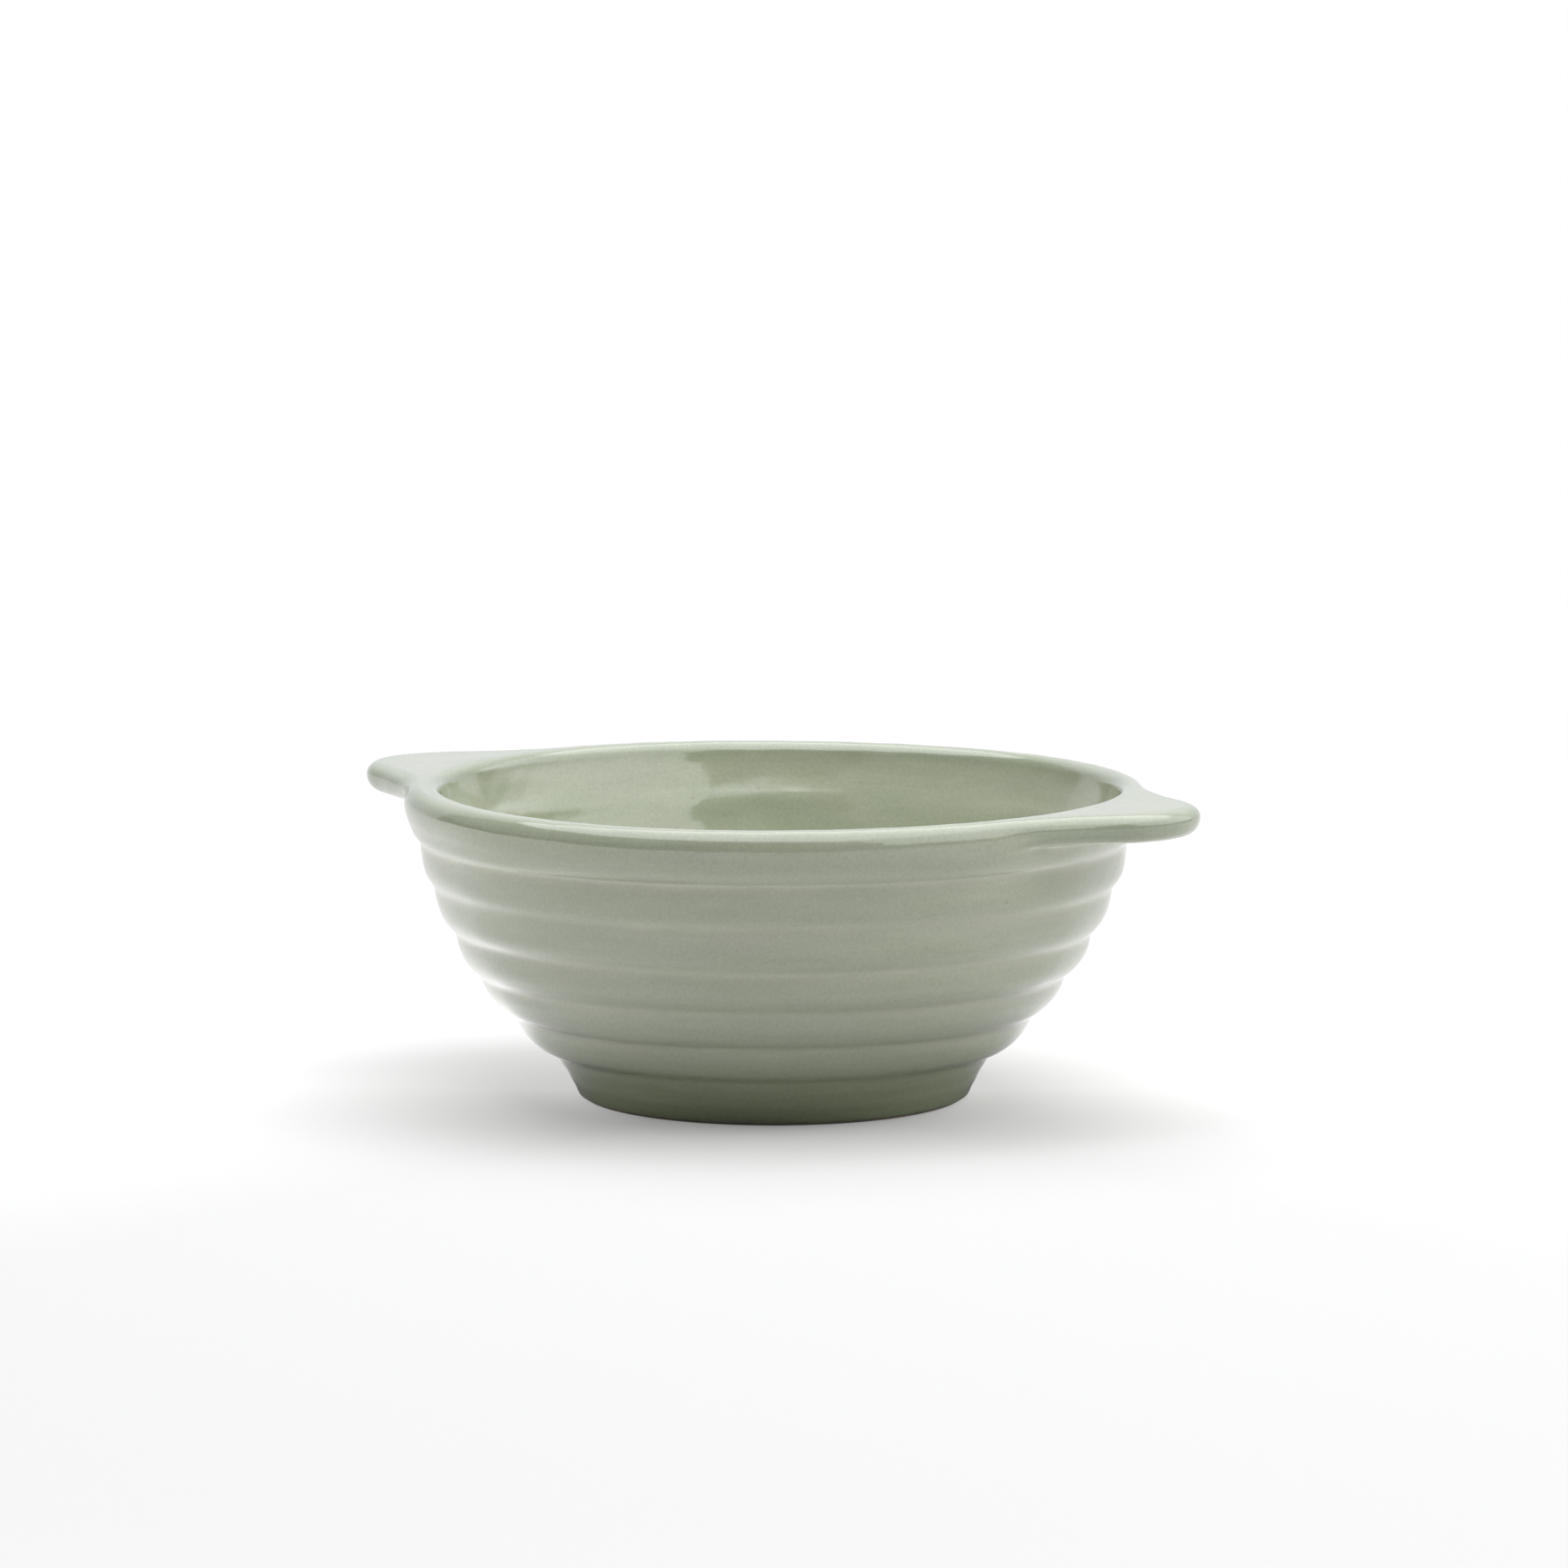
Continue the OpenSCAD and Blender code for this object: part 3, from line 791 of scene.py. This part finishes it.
def pooling_and_shade(rows):
    """How thick the glaze lies, which also paints highlight over sharp edges and shade in deep grooves: 0
    over sharp edges, 0.5 on plain walls, 1 in deep grooves.
    """
    along = np.gradient(rows, axis=0)
    around = np.roll(rows, -1, axis=1) - np.roll(rows, 1, axis=1)
    normal = np.cross(around, along)
    normal /= np.maximum(np.linalg.norm(normal, axis=2, keepdims=True), TINY)
    step = np.maximum(np.linalg.norm(along, axis=2)[1:-1], LEAST_STEP)
    bend = np.zeros(rows.shape[:2])
    turn = (rows[2:] + rows[:-2] - 2 * rows[1:-1]) * normal[1:-1]
    bend[1:-1] = turn.sum(axis=2) / step ** 2
    bend = smooth_rows(bend, BEND_PASSES)
    return 0.5 + 0.5 * np.tanh(bend / SHARP_BEND)


def set_pool_and_shade(piece, values):
    """Keeps how thick the glaze lies at each point, with its painted highlight and shade, for the material.
    """
    thickness_and_shade = piece.data.attributes.new("pool_and_shade", "FLOAT", "POINT")
    thickness_and_shade.data.foreach_set("value", values)


coat = make_piece("glaze_coat", closed_grid(skin), glaze,
                  ("outside_glaze", "inside_glaze", "left_lug_glaze", "right_lug_glaze",
                   "bowl_body", "left_lug", "right_lug"))
set_pool_and_shade(coat, np.concatenate([pooling_and_shade(skin).ravel(), [0.5, 0.5]]))

# The ring of bare clay that the bowl stands on. Its outer wall lies a little inside the foot band's glaze.

RING_IN_R = 0.6
RING_OUT_R = 0.5
RING_FACE_INSET = 0.2
RING_WALL_Z = 1.2
RING_OVERLAP = 0.3
RING_TOP_GAP = 0.1
RING_SHOULDER = 0.6
RING_MARK_H = 0.03
RING_MARKS_PER_MM = 3.1
ROWS_RING_EDGE = 5
ROWS_RING_FACE = 21


def ring_line():
    """The ring from the recess's wall down, across the face that it stands on, and up in the foot band."""
    inner, outer = FOOT_RECESS_R, FOOT_R - GLAZE_T
    turns = np.linspace(0, QUARTER, ROWS_RING_EDGE + 1)
    face = np.linspace(inner + RING_IN_R + RING_FACE_INSET, outer - RING_OUT_R - RING_FACE_INSET,
                       ROWS_RING_FACE + 1)
    top_z = FOOT_RECESS_H - RING_TOP_GAP
    line = [(inner, top_z), (inner, RING_WALL_Z)]
    line += [(inner + RING_IN_R * (1 - math.cos(a)), RING_IN_R * (1 - math.sin(a))) for a in turns]
    line += [(r, RING_MARK_H * (1 + math.cos(RING_MARKS_PER_MM * r))) for r in face]
    line += [(outer - RING_OUT_R * (1 - math.sin(a)), RING_OUT_R * (1 - math.cos(a))) for a in turns]
    return line + [(outer + RING_OVERLAP, FOOT_RECESS_H - RING_SHOULDER), (outer + RING_OVERLAP, top_z)]


make_piece("clay_foot_ring", hoop_grid(turned(ring_line())), clay, ("foot_ring",))

# The glaze in the recess, thicker where it meets the ring

FILLET_W = 3.0
FILLET_H = 0.9
FILLET_START = 0.2
FILLET_END = 0.1
RECESS_EDGE_H = 1.0
RECESS_EDGE_OVERLAP = 0.2
RECESS_BACK_OVERLAP = 0.3
RECESS_CENTRE_R = 0.5
RECESS_BACK_R = 12.0
ROWS_FILLET = 7


def recess_line():
    """The glaze's face in the recess, from its middle to the ring, and its hidden back."""
    face_z = FOOT_RECESS_H - GLAZE_T
    back_z = FOOT_RECESS_H + RECESS_BACK_OVERLAP
    start = FOOT_RECESS_R - FILLET_W
    fillet = np.linspace(start + FILLET_START, FOOT_RECESS_R - FILLET_END, ROWS_FILLET + 1)
    line = [(r, face_z) for r in (RECESS_CENTRE_R, RECESS_BACK_R, 2 * RECESS_BACK_R)]
    line += [(r, face_z - FILLET_H * ((r - start) / FILLET_W) ** 3) for r in fillet]
    line += [(FOOT_RECESS_R + RECESS_EDGE_OVERLAP, face_z - RECESS_EDGE_H)]
    return line + [(FOOT_RECESS_R + RECESS_BACK_OVERLAP, back_z), (RECESS_BACK_R, back_z)]


recess_grid = closed_grid(turned(recess_line())[::-1])
patch = make_piece("glaze_under_foot", recess_grid, glaze, ("base_glaze",))
set_pool_and_shade(patch, np.full(len(recess_grid[0]), RECESS_POOL_AND_SHADE))

# Camera

camera = bpy.data.objects.new("camera", bpy.data.cameras.new("camera"))
bpy.context.scene.collection.objects.link(camera)
bpy.context.scene.camera = camera
camera.data.lens = CAMERA_LENS
camera.data.sensor_width = CAMERA_SENSOR
camera.data.shift_x = CAMERA_SHIFT_X
camera.data.clip_end = CAMERA_SIGHT * MM
camera.location = (CAMERA_DISTANCE * MM * math.sin(CAMERA_AZIMUTH),
                   -CAMERA_DISTANCE * MM * math.cos(CAMERA_AZIMUTH), CAMERA_HEIGHT * MM)
camera.rotation_euler = (QUARTER - CAMERA_PITCH, 0, CAMERA_AZIMUTH)

# Floor and light. From here on sizes are in metres, and turns are taken from the camera's side.

AHEAD = (math.sin(CAMERA_AZIMUTH), -math.cos(CAMERA_AZIMUTH), 0)
RIGHTWARD = (math.cos(CAMERA_AZIMUTH), math.sin(CAMERA_AZIMUTH), 0)

# Lamps: name, degrees round, degrees up, distance, width and height, and power in watts
LAMPS = [
    ("front_top", 35, 72, 1.25, (1.4, 1.3), 14.2),
    ("back_top", 185, 72, 1.25, (1.3, 1.1), 7.0),
    ("left_box", -85, 32, 1.2, (0.9, 0.8), 3.9),
    ("right_box", 80, 32, 1.2, (0.8, 0.8), 5.2),
]
LAMP_AIM = (0, 0, 0.03)


def lamp_place(turn, rise, reach):
    """A place turned from the camera's side, raised, and at a distance."""
    a = CAMERA_AZIMUTH + math.radians(turn)
    e = math.radians(rise)
    return Vector((math.sin(a) * math.cos(e), -math.cos(a) * math.cos(e), math.sin(e))) * reach


def softbox(name, turn, rise, reach, size, power):
    """A rectangular lamp that faces the bowl, and that the glaze doesn't mirror."""
    lamp = bpy.data.lights.new(name, "AREA")
    lamp.shape = "RECTANGLE"
    lamp.size, lamp.size_y = size
    lamp.energy = power
    item = bpy.data.objects.new(name, lamp)
    item.location = lamp_place(turn, rise, reach)
    item.rotation_euler = (item.location - Vector(LAMP_AIM)).to_track_quat("Z", "Y").to_euler()
    bpy.context.scene.collection.objects.link(item)
    item.visible_glossy = False


for lamp_values in LAMPS:
    softbox(*lamp_values)

# The floor's own grey, its glow for the camera behind and before the bowl, lower before it as painted shade,
# and where it turns white
FLOOR_GREY = 0.57
GLOW_BEHIND = 0.46
GLOW_BEFORE_PAINTED_SHADE = 0.19
GLOW_SHADE_ZONE = -0.1, 0.8
WHITE_ZONE = 0.25, 0.7

# How much light the floor throws back up, near the foot and further out, less near the foot as painted shade
# under the bowl
BOUNCE_NEAR_PAINTED_SHADE = 0.30
BOUNCE_FAR = 0.66
BOUNCE_SHADE_ZONE = 0.04, 0.085

# What the glaze mirrors of the floor, a glow that only reflections see: near the foot, painted shadow; on
# each side, and behind the bowl, a painted reflection of the lit table
TABLE_NEAR_PAINTED_SHADOW = 0.15
TABLE_LEFT = 2.05
TABLE_RIGHT = 1.5
TABLE_BACK = 0.95
TABLE_ZONE = 0.040, 0.075
TABLE_SIDE_ZONE = -0.6, 0.6
TABLE_BACK_ZONE = -0.95, -0.35


def floor_material():
    """Pale, and white to the camera away from the bowl's shadow, with painted shade before the bowl. It is
    painted darker near the foot in the light it throws back, and it glows for reflections as a painted lit
    table with painted shadow near the foot.
    """
    material, nodes = new_material("pale_floor")
    nodes.tree.nodes.clear()
    path = nodes.add("ShaderNodeLightPath")
    place = nodes.place()
    length = nodes.add("ShaderNodeVectorMath", operation="LENGTH")
    nodes.join(place, length.inputs[0])
    reach = length.outputs["Value"]
    in_front = nodes.math("DIVIDE", nodes.toward(place, AHEAD), reach)
    aside = nodes.math("DIVIDE", nodes.toward(place, RIGHTWARD), reach)

    grey = nodes.add("ShaderNodeBsdfDiffuse")
    grey.inputs["Color"].default_value = (FLOOR_GREY, FLOOR_GREY, FLOOR_GREY, 1)
    glow = nodes.add("ShaderNodeEmission")
    # Less glow before the bowl is painted shade on the floor
    nodes.join(nodes.span(in_front, *GLOW_SHADE_ZONE, GLOW_BEHIND, GLOW_BEFORE_PAINTED_SHADE), glow.inputs["Strength"])
    lit = nodes.add("ShaderNodeAddShader")
    nodes.join(grey.outputs[0], lit.inputs[0])
    nodes.join(glow.outputs[0], lit.inputs[1])
    white = nodes.add("ShaderNodeEmission")
    far = nodes.span(reach, *WHITE_ZONE, kind="SMOOTHSTEP")
    seen = nodes.either(far, lit.outputs[0], white.outputs[0])

    # The floor is painted darker near the foot, as shade, for the light it throws back
    table = nodes.add("ShaderNodeBsdfDiffuse")
    nodes.join(nodes.span(reach, *BOUNCE_SHADE_ZONE, BOUNCE_NEAR_PAINTED_SHADE, BOUNCE_FAR), table.inputs["Color"])
    # A glow that only reflections see: a painted reflection of the lit table, with painted shadow near the
    # foot
    painted_reflection = nodes.add("ShaderNodeEmission")
    level = nodes.span(aside, *TABLE_SIDE_ZONE, TABLE_LEFT, TABLE_RIGHT)
    level = nodes.span(in_front, *TABLE_BACK_ZONE, TABLE_BACK, level)
    nodes.join(nodes.span(reach, *TABLE_ZONE, TABLE_NEAR_PAINTED_SHADOW, level), painted_reflection.inputs["Strength"])
    unseen = nodes.either(path.outputs["Is Glossy Ray"], table.outputs[0], painted_reflection.outputs[0])

    out = nodes.add("ShaderNodeOutputMaterial")
    nodes.join(nodes.either(path.outputs["Is Camera Ray"], unseen, seen), out.inputs["Surface"])
    return material


def stage_plane(name, low, high, z, material):
    """A level rectangle that isn't part of the bowl."""
    mesh = bpy.data.meshes.new(name)
    mesh.from_pydata([(low[0], low[1], z), (high[0], low[1], z), (high[0], high[1], z), (low[0], high[1], z)],
                     [], [(0, 1, 2, 3)])
    mesh.materials.append(material)
    item = bpy.data.objects.new(name, mesh)
    bpy.context.scene.collection.objects.link(item)
    return item


FLOOR_HALF = 6
FLOOR_DROP = 0.00002
CARD_LOW = -2.5, -3.0
CARD_HIGH = 2.5, -0.43
CARD_Z = 0.0005
CARD_GREY = 0.02


def front_card():
    """A dark card beyond the table's front edge, which only reflections see."""
    material, nodes = new_material("dark_card")
    nodes.shader.inputs["Base Color"].default_value = (CARD_GREY, CARD_GREY, CARD_GREY, 1)
    card = stage_plane("front_card", CARD_LOW, CARD_HIGH, CARD_Z, material)
    card.rotation_euler = (0, 0, CAMERA_AZIMUTH)
    card.visible_camera = False
    card.visible_diffuse = False
    card.visible_shadow = False


stage_plane("floor", (-FLOOR_HALF, -FLOOR_HALF), (FLOOR_HALF, FLOOR_HALF), -FLOOR_DROP, floor_material())
front_card()

# Brightness of the soft light from behind, and the share of it that comes from in front
SOFT_LEVEL = 0.15
SOFT_FRONT_SHARE = 0.2
SOFT_TILT = 0.25
SOFT_ZONE = -0.45, 0.5

# What the glaze mirrors of the room: its tint, and the brightness of each part
ROOM_TINT = (0.97, 0.99, 1.04)
BACK_LOW = 0.92
BACK_HIGH = 1.4
SIDE_LEFT = 0.5
SIDE_RIGHT = 2.7
HORIZON = 0.1
TOP_LOW = 4.4
TOP_HIGH = 4.6
GAP_LEVEL = 0.06

# Where those parts begin and end, as how far up a mirrored ray points, and how much it points aside
BACK_ZONE = 0.2, 0.5
HORIZON_ZONE = 0.10, 0.24
TOP_ZONE = 0.68, 0.73
TOP_RISE_ZONE = 0.8, 0.9
GAP_END_ZONE = 0.60, 0.66
GAP_WIDTH_ZONE = 0.34, 0.60
GAP_LOW_W = 0.675
GAP_HIGH_W = 0.52
GAP_WAVER = 0.05
GAP_WAVER_SCALE = 9
AHEAD_ASIDE_SHARE = 0.8

# How softly those parts end
AHEAD_EDGE = 0.03
SIDE_EDGE = 0.05
GAP_EDGE = 0.01


def mirrored_room(nodes, ray):
    """How bright the room is where a mirrored ray goes."""
    front = nodes.toward(ray, AHEAD)
    right = nodes.toward(ray, RIGHTWARD)
    up = nodes.toward(ray, (0, 0, 1))
    aside = nodes.math("ABSOLUTE", right)
    back_level = nodes.span(up, *BACK_ZONE, BACK_LOW, BACK_HIGH, "SMOOTHSTEP")
    side_level = nodes.span(right, -SIDE_EDGE, SIDE_EDGE, SIDE_LEFT, SIDE_RIGHT)
    side_level = nodes.span(up, *HORIZON_ZONE, HORIZON, side_level)
    ahead = nodes.math("ADD", front, nodes.math("MULTIPLY", aside, AHEAD_ASIDE_SHARE))
    ahead = nodes.span(ahead, -AHEAD_EDGE, AHEAD_EDGE)
    level = nodes.span(ahead, 0, 1, back_level, side_level)
    above = nodes.span(up, *TOP_RISE_ZONE, TOP_LOW, TOP_HIGH)
    level = nodes.span(nodes.span(up, *TOP_ZONE), 0, 1, level, above)
    width = nodes.span(up, *GAP_WIDTH_ZONE, GAP_LOW_W, GAP_HIGH_W)
    waver = nodes.noise(ray, GAP_WAVER_SCALE, detail=1)
    waver = nodes.span(waver, *NOISE_SPAN, -GAP_WAVER, GAP_WAVER)
    edge = nodes.math("MULTIPLY", front, nodes.math("ADD", width, waver))
    gap = nodes.span(nodes.math("SUBTRACT", edge, aside), -GAP_EDGE, GAP_EDGE)
    gap = nodes.math("MULTIPLY", gap, nodes.span(up, *GAP_END_ZONE, 1, 0))
    return nodes.span(gap, 0, 1, level, GAP_LEVEL)


def studio():
    """White behind everything for the camera. What lights the bowl is bright at the back and dim in front.
    What it mirrors is a pale room with a bright ceiling, a panel on each side in front that ends above the
    horizon, and a dark gap between them round the camera."""
    world = bpy.data.worlds.new("studio")
    bpy.context.scene.world = world
    world.use_nodes = True
    nodes = Nodes(world.node_tree)
    nodes.tree.nodes.clear()
    path = nodes.add("ShaderNodeLightPath")
    ray = nodes.add("ShaderNodeTexCoord").outputs["Generated"]
    behind = nodes.toward(ray, (-AHEAD[0], -AHEAD[1], SOFT_TILT))
    soft_level = nodes.span(behind, *SOFT_ZONE, SOFT_LEVEL * SOFT_FRONT_SHARE, SOFT_LEVEL, "SMOOTHSTEP")
    light = nodes.add("ShaderNodeBackground")
    light.inputs["Color"].default_value = (*ROOM_TINT, 1)
    strength = nodes.span(path.outputs["Is Glossy Ray"], 0, 1, soft_level, mirrored_room(nodes, ray))
    nodes.join(strength, light.inputs["Strength"])
    white = nodes.add("ShaderNodeBackground")
    white.inputs["Color"].default_value = (1, 1, 1, 1)
    out = nodes.add("ShaderNodeOutputWorld")
    shown = nodes.either(path.outputs["Is Camera Ray"], light.outputs[0], white.outputs[0])
    nodes.join(shown, out.inputs["Surface"])


studio()
bpy.context.scene.view_settings.view_transform = "Standard"
